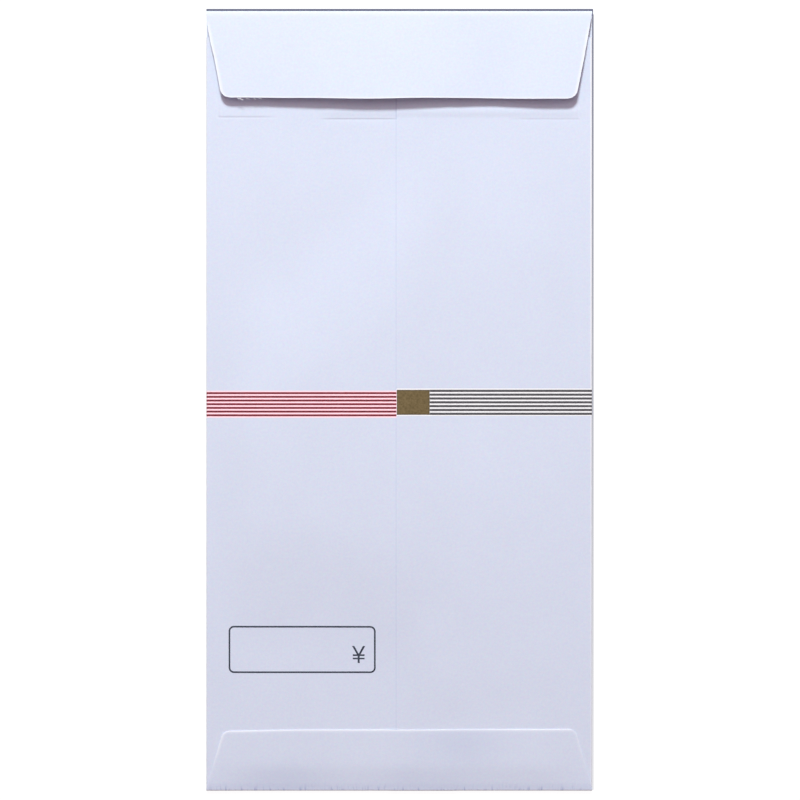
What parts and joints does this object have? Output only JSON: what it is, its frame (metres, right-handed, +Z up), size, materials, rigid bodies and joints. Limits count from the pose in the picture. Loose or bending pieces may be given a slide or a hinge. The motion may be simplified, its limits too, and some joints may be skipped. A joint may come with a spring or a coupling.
{
  "type": "money envelope",
  "caption": "Folded paper money envelope lying on its front, with a seamed back, a glued bottom flap, a printed band of cords and a closing flap that opens on its crease.",
  "frame": {"origin": "centre of the base, on the front panel's outer face, which lies on the table", "axes": "+Y along the envelope towards the closing flap, +X across it to the right as its back is seen, +Z up through the layers"},
  "size_m": [0.09, 0.182, 0.0037],
  "materials": {
    "paper": "matte, faintly bluish white",
    "paste": "dried starch paste",
    "red_ink": "printed red ink",
    "gold_ink": "printed dull gold ink"
  },
  "bodies": {
    "pocket": {"front_panel": "paper", "left_side_fold": "paper", "right_side_fold": "paper", "left_back_panel": "paper", "right_back_panel": "paper", "left_mouth_hem": "paper", "right_mouth_hem": "paper", "left_mouth_fold": "paper", "right_mouth_fold": "paper", "seam_glue": "paste", "bottom_fold": "paper", "bottom_flap": "paper", "bottom_flap_glue": "paste", "flap_crease": "paper", "red_cord_1": "red_ink", "red_cord_2": "red_ink", "red_cord_3": "red_ink", "red_cord_4": "red_ink", "red_cord_5": "red_ink", "red_cord_6": "red_ink", "red_cord_7": "red_ink", "gold_block": "gold_ink", "gold_cord_1": "gold_ink", "gold_cord_2": "gold_ink", "gold_cord_3": "gold_ink", "gold_cord_4": "gold_ink", "gold_cord_5": "gold_ink", "gold_cord_6": "gold_ink", "gold_cord_7": "gold_ink"},
    "flap": {"closing_flap": "paper"}
  },
  "joints": [
    {"name": "closing_flap_hinge", "type": "hinge", "parent": "pocket", "child": "flap", "pos_m": [0, 0.09037, 0.00063], "axis": [-1, 0, 0], "range_deg": [-4.25, 173], "deforming": ["flap_crease"]}
  ]
}
